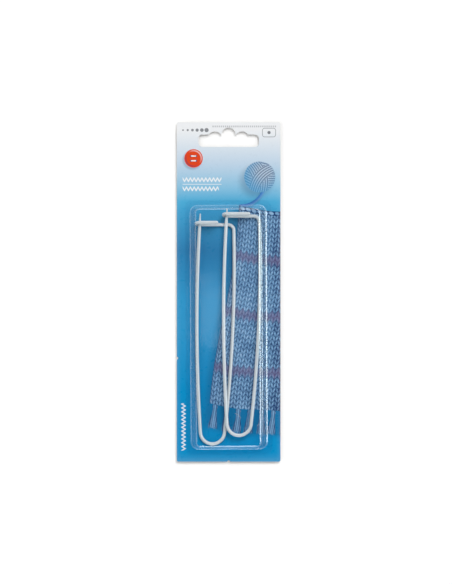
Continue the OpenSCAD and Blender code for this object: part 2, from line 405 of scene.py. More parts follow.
def dashes(x, y, box):
    """A row of short strokes that fills a box."""
    share = ((x - box[0]) / DASH_PITCH) % 1
    return share.within(0.5 - DASH_SHARE / 2, 0.5 + DASH_SHARE / 2, 0.08) * box_mask(x, y, box)


def growing_dots(x, y):
    """A row of dots, each larger than the one before."""
    total = 0
    for step in range(DOT_COUNT):
        from_dot = distance(x - (DOT_ROW[0] + DOT_PITCH * step), y - DOT_ROW[1])
        beyond = from_dot - (FIRST_DOT + DOT_GROWTH * step)
        total = beyond.rise(EDGE_SOFTNESS, -EDGE_SOFTNESS) + total
    return total


def backdrop(y, card):
    """The print's gradient, from pale grey at the top to blue at the foot."""
    heights = {
        # Painted shade: the deep blue starts at -85 mm, under the flange at the pocket's foot, so that the
        # card there is darker, for the shadow of the pocket's end wall.
        -90: card.foot, -85: card.deep, -52: card.deep, -18: card.blue, -4: card.blue, 22: card.dusk,
        43: card.sky, 48: card.clear, 56: card.pale, 68: card.haze, 86: card.top,
    }
    low, high = CARD_OUTLINE[2:]
    stops = [((height - low) / (high - low), colour) for height, colour in heights.items()]
    return y.node("ShaderNodeValToRGB", {"stops": stops}, {"Fac": (y - low) / (high - low)})


def stitch_relief(across, along, card):
    """How a knitted stitch catches the light, and which row it is in."""
    column = across / (card.stitch_width / MM)
    from_middle = abs(column % 1 - 0.5) * 2
    row = along / (card.stitch_height / MM) - from_middle * 0.85
    over_leg = (row % 1) * 2 - 1
    beside_leg = from_middle * 2 - 1
    plump = (1 - over_leg * over_leg) ** 0.6
    waist = 1 - beside_leg * beside_leg * abs(beside_leg) * 0.85
    ply = ((from_middle * 2.5 + row * 2) % 1).within(0.25, 0.75, 0.25)
    return plump * waist * (ply * 0.2 + 0.8), row


def bound_edge(across, along, relief, card):
    """The relief of the knitting, with a chain of stitches along its top edge."""
    half = 1.15
    beside = (across / (card.stitch_width / MM) + along * 0.12) % 1 * 2 - 1
    above = (along + half) / half
    chain = (1 - beside * beside * 0.9 - above * above).rise(0, 0.8)
    on_edge = along.rise(-2 * half - 0.1, -2 * half)
    return relief + (chain - relief) * on_edge


def knitting(x, y, card, place):
    """The colour of the printed scarf, and where it lies."""
    across, along = turned(x, y, SCARF_CENTRE, SCARF_LEAN)
    across = across + (along / 19).maths("SINE") * 1.3
    along = along + (across / 8).maths("SINE") * 0.9
    relief, row = stitch_relief(across, along, card)
    relief = bound_edge(across, along, relief, card)
    patches = noise(place, "yarn patches")
    texture = noise(place, "heather") * 1.1 + patches * 0.9 - 0.2
    off_card_edge = x.rise(25, 21.5)
    lit = off_card_edge * 0.2 + y.rise(-70, 0) * 0.06 - 0.06
    light = relief * texture + lit + (noise(place, "folds") - 0.5) * 0.3
    stripe = (row % STRIPE_ROWS).within(0.2, 2.0, 0.35)
    curl = across.rise(0, 1.6)
    colour = painted(
        light.rise(0.05, 0.95).paint_over(card.yarn_shade, card.yarn),
        (light.rise(0.75, 1.15), 0.5, card.haze),
        (stripe, patches * 0.5 + 0.3, card.stripe),
        (1 - curl, 0.45, card.yarn_shade),
    )
    body = across.rise(-0.15, 0.15) * along.within(-SCARF_LENGTH, 0, 0.2)
    return colour, body, across, along


def fringe(across, along, card, place):
    """The colour of the scarf's fringe, and where its tassels hang."""
    pitch = 2 * card.stitch_width / MM
    down = (-along - SCARF_LENGTH) / FRINGE_LENGTH
    tassel = (across / pitch).maths("FLOOR")
    sway = (tassel * 2.4 + down * 2).maths("SINE") * down * 0.6
    spread = ((across + sway) / pitch) % 1 - 0.5
    strand = (spread * 38 + down * 3).maths("SINE")
    knot = down.within(0.05, 0.13, 0.04) * 0.07
    width = down.rise(0.1, 1.3) * 0.3 + 0.17 + knot
    ends = (down + noise(place, "frayed ends") * 0.3).rise(1.15, 1.1)
    mask = (abs(spread) - width).rise(0.03, -0.03) * down.rise(-0.02, 0.01) * ends
    light = strand * 0.16 + 0.62 + noise(place, "loose fibres") * 0.3 - abs(spread) / width * 0.4
    colour = light.rise(0.15, 0.95).paint_over(card.yarn_shade, card.yarn)
    return colour, mask * across.rise(-0.2, 0.2)


def yarn_ball(x, y, card, place):
    """The colour of a printed ball of yarn, and where it lies."""
    colour = card.haze
    for degrees, reach in BALL_LAYERS:
        across, along = turned(x, y, BALL_CENTRE, degrees)
        bowed = along + across * across * (0.035 if reach < 1 else -0.02)
        strand = abs((bowed / BALL_PITCH) % 1 - 0.5) * 2
        twist = (((across + strand * 0.6) / 0.9) % 1).within(0.2, 0.8, 0.2)
        light = (1 - strand * strand) * (0.7 + twist * 0.3)
        wound = light.paint_over(card.yarn_shade, card.haze)
        cover = (abs(bowed) / BALL_RADIUS - reach).rise(0.03, -0.03)
        colour = cover.paint_over(colour, wound)
    from_centre = distance(x - BALL_CENTRE[0], y - BALL_CENTRE[1]) / BALL_RADIUS
    lit = distance(x - BALL_CENTRE[0] - 2.5, y - BALL_CENTRE[1] - 3) / BALL_RADIUS
    colour = (lit.rise(0.2, 1.5) * 0.7).paint_over(colour, card.blue)
    ragged = (noise(place, "ragged edge") - 0.5) * 0.04
    return colour, (from_centre + ragged).rise(1.02, 0.98)


def yarn_tail(x, y, card, colour):
    """A loose strand of yarn that runs in a bow from the ball to the scarf."""
    bow_centre = (6.5, 58.4)
    bow_radius = 12.8
    half = 0.85
    right = x - bow_centre[0]
    up = y - bow_centre[1]
    off_line = distance(right, up) - bow_radius
    reach = right.rise(-1.2, -0.2) * up.rise(0.2, -0.2)
    shade = (abs(distance(right + 0.9, up + 1.1) - bow_radius) - half).rise(1.0, -0.6)
    colour = (shade * reach * 0.3).paint_over(colour, card.yarn_shade)
    twist = ((right * 1.1 + off_line * 0.7) % 1).within(0.25, 0.75, 0.25)
    light = (off_line / half).rise(-1.2, 1.4) * 0.7 + twist * 0.3
    strand = (light * 0.6).paint_over(card.strand, card.pale)
    return ((abs(off_line) - half).rise(0.1, -0.1) * reach).paint_over(colour, strand)


def button(x, y, card, colour):
    """A printed sewing button with a raised rim, four holes and two stitches of thread."""
    right = x - BUTTON_CENTRE[0]
    up = y - BUTTON_CENTRE[1]
    reach = distance(right, up)
    shade = distance(right + 0.7, up + 0.9).rise(BUTTON_RADIUS + 1.0, BUTTON_RADIUS - 0.6)
    slope = (right + up) / reach.maths("MAXIMUM", 0.1)
    rim = reach.within(BUTTON_RADIUS - 1.1, BUTTON_RADIUS - 0.5, 0.3)
    hole = distance(abs(right) - BUTTON_HOLE, abs(up) - BUTTON_HOLE)
    thread = abs(right).rise(BUTTON_HOLE + 0.2, BUTTON_HOLE)
    return painted(
        colour,
        (shade, 0.3, card.yarn_shade),
        ((reach - BUTTON_RADIUS).rise(0.1, -0.1), 1, card.button),
        (rim * slope.rise(0, 1.4), 0.55, card.top),
        (rim * slope.rise(0, -1.4), 0.5, card.yarn_shade),
        (hole.rise(0.75, 0.55), 0.75, card.yarn_shade),
        (thread, (abs(abs(up) - BUTTON_HOLE) - 0.32).rise(0.1, -0.1), card.top),
    )


def small_print(x, y, card, colour):
    """Rows of stitches, rules and dashes, where a card carries its words."""
    left, right, low, high = MARK_BOX
    from_outline = abs(round_box(x, y, MARK_BOX, 1.2))
    from_middle = distance(x - (left + right) / 2, y - (low + high) / 2)
    return painted(
        colour,
        *((zigzag(x, y, row), 0.92, card.top) for row in TITLE_ROWS),
        (box_mask(x, y, RULE_BOX, 0.08), 0.8, card.top),
        (zigzag(y, -x, SIDE_ROW), 0.85, card.top),
        (growing_dots(x, y), 0.8, card.ink),
        (dashes(x, y, FINE_PRINT_BOX), 0.45, card.ink),
        ((from_outline - 0.14).rise(0.09, -0.09), 0.85, card.ink),
        (from_middle.rise(0.95, 0.75), 0.9, card.ink),
    )


def front_print(x, y, card, place):
    """Everything that is printed on the card's face."""
    knit, knit_mask, across, along = knitting(x, y, card, place)
    tassels, tassel_mask = fringe(across, along, card, place)
    ball, ball_mask = yarn_ball(x, y, card, place)
    scarf_shadow = across.rise(-5, 0.5) * along.within(-SCARF_LENGTH - FRINGE_LENGTH, -2, 3)
    ball_shadow = distance(x - BALL_CENTRE[0] + 2, y - BALL_CENTRE[1] + 2.5) / BALL_RADIUS
    colour = painted(
        backdrop(y, card),
        (scarf_shadow, 0.4, card.yarn_shade),
        (ball_shadow.rise(1.35, 0.7), 0.35, card.yarn_shade),
    )
    colour = yarn_tail(x, y, card, colour)
    colour = painted(colour, (tassel_mask, 1, tassels), (knit_mask, 1, knit), (ball_mask, 1, ball))
    colour = button(x, y, card, colour)
    return small_print(x, y, card, colour)


# The print fades out from one to three times this depth below the card's face, in metres
PRINT_DEPTH = 0.00002


def card_material(card):
    """Coated print on the face, bare board on the edges and the back."""
    material, place = new_material("Printed card")
    x, y, z = place.parts()
    x, y = x / MM, y / MM
    face = z.rise(CARD_FACE - 3 * PRINT_DEPTH, CARD_FACE - PRINT_DEPTH)
    fibres = noise(place, "board fibres")
    flecks = noise(place, "board flecks").rise(0.66, 0.74)
    board = (fibres * 0.35 + flecks * 0.3).paint_over(card.board, card.fleck)
    rubbed = (round_box(x, y, CARD_OUTLINE, 1) + (fibres - 0.5) * 0.3).rise(-0.22, 0)
    # Painted light: the next mask lightens the print towards the board colour within about 3 mm of the
    # card's edge, for the glare of the bright floor round the card. The mix after it holds the real rubbed
    # wear at the very edge together with this painted glow.
    edge_glow = round_box(x, y, CARD_OUTLINE, 3).rise(-2.8, 0.4)
    worn = rubbed * 0.4 + edge_glow * 0.04
    printed = worn.paint_over(front_print(x, y, card, place), card.board)
    colour = face.paint_over(board, printed)
    grain = noise(place, "coating")
    shader = place.node("ShaderNodeBsdfPrincipled", None, {
        "Base Color": colour,
        "Roughness": face * -0.5 + 0.78 + (grain - 0.5) * 0.05,
        "Specular IOR Level": 0.2,
        "Normal": bump(fibres * (1 - face * 0.985), 0.00004, 0.5),
    })
    return finish_material(material, shader)


# Over this length of wire, in metres, the drawn lines change as much as over one radius across it
DRAWN_LINE = 0.025


def wire_material(holder):
    """Pearl lacquer over drawn wire, worn to the metal in places."""
    material, place = new_material("Pearl wire")
    ring = place.node("ShaderNodeAttribute", {"attribute_name": "ring"}, None, "Vector")
    along = place.node("ShaderNodeAttribute", {"attribute_name": "along"}, None, "Fac")
    ring_x, ring_y, _ = ring.parts()
    stretched = {"X": ring_x, "Y": ring_y, "Z": along / DRAWN_LINE}
    lines = noise(place.node("ShaderNodeCombineXYZ", None, stretched), "drawn lines")
    mottle = noise(place, "mottle")
    specks = noise(place, "specks").rise(0.7, 0.78)
    wear = (noise(place, "wear") * 0.6 + lines * 0.4).rise(0.6, 0.72)
    colour = painted(
        holder.pearl, (mottle, 0.5, holder.dull), (wear, 0.6, holder.bare), (specks, 0.35, holder.speck)
    )
    shader = place.node("ShaderNodeBsdfPrincipled", None, {
        "Base Color": colour,
        "Metallic": wear * 0.4 + 0.12,
        "Roughness": lines * 0.12 + 0.38 - wear * 0.08,
        "Normal": bump(lines * 0.6 + mottle * 0.4, 0.00001, 0.6),
        "Coat Weight": 0.1,
        "Coat Roughness": 0.2,
    })
    return finish_material(material, shader)


def blister_material(blister):
    """Clear sheet that mirrors more at a slant, is dim and hazy where steep, and has a few scratches."""
    material, place = new_material("Clear blister")
    x, y, _ = place.parts()
    x, y = x / MM, y / MM
    _, normal_y, normal_z = place.other("Normal").parts()
    level = abs(normal_z)
    up_card = normal_y * normal_z
    head_edge = up_card.rise(0.03, 0.12)
    foot_edge = up_card.rise(-0.03, -0.12)
    end_wall = abs(normal_y).rise(0.4, 0.9)
    wall = level.rise(0.6, 0.42)
    facing = place.node("ShaderNodeLayerWeight", None, {"Blend": 0.5}, "Facing")
    rounded = level.rise(0.995, 0.93) * (1 - wall)
    soft = head_edge * 0.25 + foot_edge * 0.1 + 0.16
    scratch = scratches(x, y)
    grazing = facing ** 5 * (level.rise(0.45, 0.9) * 0.7 + 0.2)
    mirrored = grazing + rounded * 0.05 + 0.015 + scratch * 0.3
    shine = place.node("ShaderNodeBsdfGlossy", None, {
        "Color": (1, 1, 1, 1),
        "Roughness": scratch * 0.55 + rounded * soft + 0.06,
        "Normal": bump(noise(place, "sheet"), 0.00012),
    })
    clear = place.node("ShaderNodeBsdfTransparent", None, {"Color": (*blister.clear, 1)})
    steep_shade_tint = place.node("ShaderNodeBsdfTransparent", None, {"Color": (*blister.steep_shade_tint, 1)})
    milky = place.node("ShaderNodeBsdfDiffuse", None, {"Color": (*blister.milky, 1)})
    # Painted shade: the steep walls, and the end walls less, let through the darker tint, for the shade
    # that refraction in the walls gives.
    dim = level.rise(0.96, 0.45) * (1 - end_wall * 0.7)
    dimmed = place.node("ShaderNodeMixShader", None, {0: dim, 1: clear, 2: steep_shade_tint})
    sheet = place.node("ShaderNodeMixShader", None, {0: wall * 0.04, 1: dimmed, 2: milky})
    shader = place.node("ShaderNodeMixShader", None, {0: mirrored, 1: sheet, 2: shine})
    return finish_material(material, shader)


# Bowed scratches: the bow's centre and radius, and from where to where it runs beside that centre
SCRATCHES = (((1.0, -70.0), 6.5, 2.2, 5.4), ((20.0, -75.0), 6.7, -5.2, -3.8))
SCRATCH_WIDTH = 0.14


def scratches(x, y):
    """Hairline scratches on the pocket's top."""
    total = 0
    for (centre_x, centre_y), radius, start, end in SCRATCHES:
        right = x - centre_x
        up = y - centre_y
        off_line = abs(distance(right, up) - radius)
        span = right.within(start, end, 0.4) * up.rise(0, 1)
        total = off_line.rise(SCRATCH_WIDTH, 0.04) * span + total
    return total


def new_object(name, data):
    """Puts a mesh, a lamp or a camera in the scene, at the origin."""
    made = bpy.data.objects.new(name, data)
    bpy.context.scene.collection.objects.link(made)
    return made


def make_plain(piece):
    """Applies a piece's modifiers, so that only a plain mesh is left."""
    source = piece.data
    bpy.context.view_layer.update()
    evaluated = piece.evaluated_get(bpy.context.evaluated_depsgraph_get())
    mesh = bpy.data.meshes.new_from_object(evaluated)
    piece.modifiers.clear()
    piece.data = mesh
    bpy.data.meshes.remove(source)
    mesh.name = piece.name


# The blister: steps round each of its rings and up its wall

LONG_STEPS = 90
SHORT_STEPS = 30
CORNER_STEPS = 12
FILLET_STEPS = 6
WALL_STEPS = 6
CREASE_STEPS = 12
EDGE_STEPS = 8
# Shares of the way in at which the flat top's rings lie, half the last ring's width, and the least corner
TOP_RINGS = (0.12, 0.25, 0.4, 0.55, 0.7, 0.85, 1.0)
LAST_HALF = 0.0006
SMALLEST_CORNER = 0.0005
# Folds of the sheet that are sharper than this stay sharp, in degrees
SHARP_FOLD = 40


def round_ring(half_width, half_length, corner):
    """Points and outward directions of a rectangle with round corners."""
    centre_x = half_width - corner
    centre_y = half_length - corner
    sides = ((1, 1), (-1, 1), (-1, -1), (1, -1))
    points = []
    for quarter, (side_x, side_y) in enumerate(sides):
        middle = Vector((side_x * centre_x, side_y * centre_y))
        for step in range(CORNER_STEPS):
            facing = unit((quarter + step / CORNER_STEPS) * math.pi / 2)
            points.append((middle + corner * facing, facing))
        run, steps = ((centre_x, SHORT_STEPS), (centre_y, LONG_STEPS))[quarter % 2]
        facing = unit((quarter + 1) * math.pi / 2)
        along = Vector((-facing.y, facing.x)) * 2 * run
        for step in range(steps):
            points.append((middle + corner * facing + along * step / steps, facing))
    return points


def bezier(start, middle, end, steps):
    """Points of a curve of three handles, without its first one."""
    found = []
    for step in range(1, steps + 1):
        share = step / steps
        rest = 1 - share
        found.append(tuple(
            rest * rest * a + 2 * rest * share * b + share * share * c
            for a, b, c in zip(start, middle, end)
        ))
    return found


def blister_profile(blister, depth, fillet, top_edge):
    """The sheet's outer surface, from the flange's edge over the wall to the pocket's top.

    Each entry is the inset from the mouth, the share of the walls' lean in it, the height and the
    share of the wave.
    """
    lip = blister.sheet
    low = lip + fillet
    high = depth - top_edge
    edge_inset = top_edge * 0.9
    profile = [(-blister.flange, 0, lip, 0), (-blister.flange * 0.5, 0, lip, 0)]
    fillet_start = (-fillet, 0, lip)
    profile.append((*fillet_start, 0.4))
    fillet_end = (0, low / depth, low)
    for inset, share, z in bezier(fillet_start, (0, lip / depth, lip), fillet_end, FILLET_STEPS):
        profile.append((inset, share, z, 1))
    wall = [low + (high - low) * step / WALL_STEPS for step in range(1, WALL_STEPS + 1)]
    for step in range(-CREASE_STEPS, CREASE_STEPS + 1):
        wall.append(blister.crease_z + 2 * blister.crease * step / CREASE_STEPS)
    for z in sorted(wall):
        profile.append((0, z / depth, z, 1 - 0.8 * (z - low) / (high - low)))
    edge_start = (0, high / depth, high)
    for inset, share, z in bezier(edge_start, (0, 1, depth), (edge_inset, 1, depth), EDGE_STEPS):
        profile.append((inset, share, z, 0.2))
    return profile


def crease_depth(blister, point, facing, z):
    """How deep the crease in the right wall is at a point of it."""
    off_line = (z - blister.crease_z) / (0.8 * blister.crease)
    off_middle = point.y / blister.crease_reach
    return blister.crease * max(0, facing.x) ** 8 * math.exp(-off_line ** 2 - off_middle ** 8)


def wave(point, amount):
    """A soft wave in a wall, which differs from place to place."""
    x, y = point.x / MM, point.y / MM
    height = (
        math.sin(y / 9.3 + x / 15)
        + 0.6 * math.sin(y / 4.1 + 1.3)
        + 0.5 * math.sin(x / 5.2 - y / 21)
    )
    return amount * height / 2


def blister_mesh(blister):
    """The blister's outer surface as rings of points, closed by its flat top."""
    low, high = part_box("blister")
    centre = (low + high) / 2
    base_z = low.z
    depth = high.z - low.z
    mouth_w = (high.x - low.x) / 2 - blister.flange
    mouth_l = (high.y - low.y) / 2 - blister.flange
    skew = Matrix.Rotation(blister.skew, 2)
    top_inset = mouth_w - blister.side_draft - LAST_HALF
    side_rows = blister_profile(blister, depth, blister.fillet, blister.top_edge)
    end_rows = blister_profile(blister, depth, blister.end_fillet, blister.end_top_edge)
    for rows in (side_rows, end_rows):
        edge = rows[-1][0]
        for share in TOP_RINGS:
            rows.append((edge + (top_inset - edge) * share, 1, depth, 0))
    points = []
    for side_row, end_row in zip(side_rows, end_rows):
        inset, draft, side_z, waviness = side_row
        side = inset + blister.side_draft * draft
        end = end_row[0] + blister.end_draft * end_row[1]
        if draft == 0:
            span = min(1, -inset / blister.flange)
            corner = blister.corner + (blister.flange_corner - blister.corner) * span
        else:
            corner = max(blister.corner - end, SMALLEST_CORNER)
        for point, facing in round_ring(mouth_w - side, mouth_l - end, corner):
            z = side_z + (end_row[2] - side_z) * facing.y ** 2
            shift = wave(point, blister.wave * waviness * (1 - 0.75 * facing.y ** 2))
            shift -= crease_depth(blister, point, facing, z)
            point = point + facing * shift
            point.x += blister.top_shift * draft
            within_flange = min(1, 1 + inset / blister.flange) * (1 - draft)
            point.y += blister.foot_shift * within_flange * (0.5 - point.y / (2 * mouth_l))
            point.rotate(skew)
            points.append((centre.x + point.x, centre.y + point.y, base_z + z))
    count = len(points) // len(side_rows)
    faces = []
    for row in range(len(side_rows) - 1):
        for step in range(count):
            here = row * count + step
            beside = row * count + (step + 1) % count
            faces.append((here, beside, beside + count, here + count))
    last = (len(side_rows) - 1) * count
    faces.append(tuple(range(last, last + count)))
    mesh = bpy.data.meshes.new("clear_blister")
    mesh.from_pydata(points, [], faces)
    mesh.shade_smooth()
    return mesh


# The wires: spacings of their points along each stretch, in metres

BEND_SPACING = 0.00035
LEG_SPACING = 0.0015
TAPER_SPACING = 0.0005
CORNER_SPACING = 0.0002
RUN_SPACING = 0.001
HOOK_SPACING = 0.00012
SMALLEST_SPACING = 0.00002
# Gap between a pin and its hook, in metres
PIN_REST_GAP = 0.0001
# The CAD nodes that each wire replaces
PIN_NODES = ("spring_bend", "pin_leg", "pin_point")
CLASP_NODES = ("clasp_leg", "clasp_corner", "back_run", "hook", "front_run")


def arc_points(centre, radius, start, sweep, spacing):
    """Points of a flat arc, from one angle over a sweep."""
    steps = max(2, math.ceil(abs(sweep) * radius / spacing))
    return [
        Vector((
            centre[0] + radius * math.cos(start + sweep * step / steps),
            centre[1] + radius * math.sin(start + sweep * step / steps),
            0,
        ))
        for step in range(steps + 1)
    ]


def line_points(start, end, spacing):
    """Points of a straight stretch."""
    steps = max(1, math.ceil((end - start).length / spacing))
    return [start.lerp(end, step / steps) for step in range(steps + 1)]


def end_points(start, direction, tip_radius, steps=8):
    """Points that crowd towards a wire's round end, for a stretch as long as the end's radius."""
    return [
        start + direction * tip_radius * math.sin(math.pi / 2 * step / steps)
        for step in range(steps + 1)
    ]


def joined(*stretches):
    """One list of points from stretches that meet end to end."""
    path = []
    for stretch in stretches:
        for point in stretch:
            if not path or (point - path[-1]).length > SMALLEST_SPACING:
                path.append(point)
    return path


def layer_rise(holder):
    """How far apart the middles of two wires lie where they cross."""
    return holder.wire + holder.layer_gap


def climb_angle(holder):
    """How steeply the pin leg climbs by one layer from the bend to the clasp."""
    return math.asin(layer_rise(holder) / holder.reach)


def pin_heading(holder, lean, reach):
    """The pin leg's heading at a distance along the holder."""
    return math.asin((reach + holder.bend * math.sin(lean)) / holder.pin_bow - math.sin(lean))


def pin_x(holder, lean, reach):
    """How far across the holder the pin leg lies, at a distance along it."""
    heading = pin_heading(holder, lean, reach)
    return -holder.bend * math.cos(lean) + holder.pin_bow * (math.cos(lean) - math.cos(heading))


def pin_path(holder, side):
    """The spring bend, the bowed pin leg and its straight tapered end."""
    lean = getattr(holder, f"{side}_pin_lean")
    clasp_lean = getattr(holder, f"{side}_clasp_lean")
    taper_start = holder.reach + getattr(holder, f"{side}_point_reach") - holder.taper
    heading = pin_heading(holder, lean, taper_start)
    bend = arc_points((0, 0), holder.bend, -clasp_lean, clasp_lean + lean - math.pi, BEND_SPACING)
    bow = (holder.pin_bow - holder.bend) * unit(lean)
    leg = arc_points(bow, holder.pin_bow, math.pi + lean, -lean - heading, LEG_SPACING)
    direction = Vector((math.sin(heading), math.cos(heading), 0))
    tip_radius = holder.point / 2
    tip_start = leg[-1] + direction * (holder.taper - tip_radius)
    taper = line_points(leg[-1], tip_start, TAPER_SPACING)
    tip = end_points(tip_start, direction, tip_radius)
    climb = Matrix.Rotation(climb_angle(holder), 3, "X")
    return joined(bend, [climb @ point for point in leg + taper + tip])


def hook_middle(holder, side):
    """How far across the holder the hook's middle lies, so that the pin presses into the hook."""
    lean = getattr(holder, f"{side}_pin_lean")
    point_reach = getattr(holder, f"{side}_point_reach")
    tip = holder.point / 2
    thinning = min(1, (point_reach - tip) / (holder.taper - tip))
    pin_radius = tip + (holder.wire / 2 - tip) * thinning
    return (
        pin_x(holder, lean, holder.reach) + hook_radius(holder)
        - holder.wire / 2 - pin_radius - PIN_REST_GAP
    )


def hook_radius(holder):
    """Radius of the half turn from the back run up to the front run."""
    return math.hypot(2 * layer_rise(holder), holder.front_offset) / 2


def clasp_path(holder, side):
    """The bowed clasp leg, its corner, the back run, the hook and the front run."""
    lean = getattr(holder, f"{side}_clasp_lean")
    run = getattr(holder, f"{side}_run")
    bow = (holder.bend - holder.clasp_bow) * unit(-lean)
    corner_y = holder.reach - holder.corner
    end_lean = math.asin((bow.y - corner_y) / (holder.clasp_bow - holder.corner))
    corner_x = bow.x + (holder.clasp_bow - holder.corner) * math.cos(end_lean)
    hook_x = hook_middle(holder, side)
    radius = hook_radius(holder)
    tilt = math.atan2(holder.front_offset, 2 * layer_rise(holder))
    leg = arc_points(bow, holder.clasp_bow, -lean, lean - end_lean, LEG_SPACING)
    quarter = math.pi / 2 + end_lean
    corner = arc_points((corner_x, corner_y), holder.corner, -end_lean, quarter, CORNER_SPACING)
    hook_start = Vector((hook_x, holder.reach, 0))
    back = line_points(Vector((corner_x, holder.reach, 0)), hook_start, RUN_SPACING)
    stand = Matrix.Rotation(math.pi / 2 - tilt, 3, "X")
    hook = [
        stand @ (point + Vector((0, radius, 0))) + hook_start
        for point in arc_points((0, 0), radius, -math.pi / 2, -math.pi, HOOK_SPACING)
    ]
    front_end = hook[-1] + Vector((run, 0, 0))
    front = line_points(hook[-1], front_end, RUN_SPACING)
    tip = end_points(front_end, Vector((1, 0, 0)), holder.wire / 2)
    return joined(leg, corner, back, hook, front, tip)


def placed(path, holder, side):
    """A holder's path where that holder lies. The right one slopes down towards its clasp."""
    bend_centre = Vector(PIN_JOINTS[f"{side}_pin"]["pos_m"])
    slope = -climb_angle(holder) if side == "right" else 0
    tilt = Matrix.Rotation(slope, 3, "X")
    return [tilt @ point + bend_centre for point in path]


# Points that lie nearer than this are merged, in metres, and edges past this angle are sharp, in radians
MERGE_DISTANCE = 0.0000005
SHARP_ANGLE = 1.0
WIRE_INPUTS = {
    "Path": "NodeSocketGeometry",
    "Wire Radius": "NodeSocketFloat",
    "Point Radius": "NodeSocketFloat",
    "Taper Length": "NodeSocketFloat",
    "Facets": "NodeSocketInt",
    "Finish": "NodeSocketMaterial",
}


def stored(geometry, name, kind, value):
    """A geometry that keeps a value on its points under a name."""
    inputs = {"Geometry": geometry, "Name": name, "Value": value}
    settings = {"data_type": kind, "domain": "POINT"}
    return geometry.node("GeometryNodeStoreNamedAttribute", settings, inputs)


def wire_tree():
    """Geometry nodes that sweep a round wire along a path, with a taper and a round end."""
    tree = bpy.data.node_groups.new("Drawn wire", "GeometryNodeTree")
    for name, kind in WIRE_INPUTS.items():
        tree.interface.new_socket(name=name, in_out="INPUT", socket_type=kind)
    tree.interface.new_socket(name="Wire", in_out="OUTPUT", socket_type="NodeSocketGeometry")
    start = Value(tree, tree.nodes.new("NodeGroupInput").outputs["Path"])
    add = start.node
    curve = add("GeometryNodeMeshToCurve", None, {"Mesh": start})
    passed = add("GeometryNodeSplineParameter", None, None, "Length")
    total = add("GeometryNodeSplineLength", None, None, "Length")
    left = total - passed
    tip = start.other("Point Radius")
    thickness = add("ShaderNodeMapRange", None, {
        "Value": left,
        "From Min": tip,
        "From Max": start.other("Taper Length"),
        "To Min": tip,
        "To Max": start.other("Wire Radius"),
    })
    within_tip = (tip - left).maths("MAXIMUM", 0)
    rounding = (tip * tip - within_tip * within_tip).maths("MAXIMUM", 0).maths("SQRT")
    radius = thickness - tip + rounding
    curve = stored(curve, "along", "FLOAT", passed)
    ring = {"Resolution": start.other("Facets"), "Radius": 1.0}
    circle = add("GeometryNodeCurvePrimitiveCircle", {"mode": "RADIUS"}, ring)
    circle = stored(circle, "ring", "FLOAT_VECTOR", add("GeometryNodeInputPosition"))
    wire = add("GeometryNodeCurveToMesh", None, {
        "Curve": curve,
        "Profile Curve": circle,
        "Scale": radius,
        "Fill Caps": True,
    })
    wire = add("GeometryNodeMergeByDistance", None, {"Geometry": wire, "Distance": MERGE_DISTANCE})
    wire = add("GeometryNodeSetShadeSmooth", {"domain": "FACE"}, {"Geometry": wire})
    angle = add("GeometryNodeInputMeshEdgeAngle")
    wire = add("GeometryNodeSetShadeSmooth", {"domain": "EDGE"}, {
        "Geometry": wire,
        "Selection": angle.maths("GREATER_THAN", SHARP_ANGLE),
        "Shade Smooth": False,
    })
    wire = add("GeometryNodeRealizeInstances", None, {"Geometry": wire})
    finished = {"Geometry": wire, "Material": start.other("Finish")}
    add("NodeGroupOutput", None, {"Wire": add("GeometryNodeSetMaterial", None, finished)})
    return tree


def swept_wire(name, path, tree, values):
    """A plain mesh of the wire that the node tree sweeps along a path."""
    line = bpy.data.meshes.new(f"{name}_path")
    line.from_pydata(path, [(step, step + 1) for step in range(len(path) - 1)], [])
    piece = new_object(name, line)
    modifier = piece.modifiers.new("Drawn wire", "NODES")
    modifier.node_group = tree
    for item in tree.interface.items_tree:
        if item.in_out == "INPUT" and item.name in values:
            modifier[item.identifier] = values[item.name]
    make_plain(piece)
    return piece


# Operators


class STITCH_OT_card(bpy.types.Operator):
    """Gives the card its print and its bare board"""

    bl_idname = "stitch_pack.card"
    bl_label = "Dress the card"

    def execute(self, context):
        card = frame["nodes"]["hang_card"]
        material = card_material(context.scene.stitch_card)
        card.data.materials.clear()
        card.data.materials.append(material)
        return {"FINISHED"}


class STITCH_OT_blister(bpy.types.Operator):
    """Builds the clear blister over the pocket"""

    bl_idname = "stitch_pack.blister"
    bl_label = "Build the blister"

    def execute(self, context):
        blister = context.scene.stitch_blister
        mesh = blister_mesh(blister)
        mesh.materials.append(blister_material(blister))
        piece = new_object("clear_blister", mesh)
        sheet = piece.modifiers.new("Sheet", "SOLIDIFY")
        sheet.thickness = blister.sheet - blister.clearance
        sheet.offset = -1
        sheet.use_even_offset = True
        make_plain(piece)
        piece.data.set_sharp_from_angle(angle=math.radians(SHARP_FOLD))
        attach(piece, "blister")
        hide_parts("blister")
        return {"FINISHED"}


class STITCH_OT_holders(bpy.types.Operator):
    """Builds the two wire stitch holders"""

    bl_idname = "stitch_pack.holders"
    bl_label = "Build the stitch holders"

    def execute(self, context):
        holder = context.scene.stitch_holder
        tree = wire_tree()
        finish = wire_material(holder)
        values = {"Wire Radius": holder.wire / 2, "Facets": holder.facets, "Finish": finish}
        point = {**values, "Point Radius": holder.point / 2, "Taper Length": holder.taper}
        blunt = {**values, "Point Radius": holder.wire / 2, "Taper Length": holder.wire}
        for side in SIDES:
            path = placed(pin_path(holder, side), holder, side)
            pin = swept_wire(f"{side}_pin_wire", path, tree, point)
            path = placed(clasp_path(holder, side), holder, side)
            clasp = swept_wire(f"{side}_clasp_wire", path, tree, blunt)
            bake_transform(pin)
            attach(clasp, f"{side}_holder")
            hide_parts(*(f"{side}_{node}" for node in PIN_NODES))
            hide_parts(*(f"{side}_{node}" for node in CLASP_NODES))
        return {"FINISHED"}


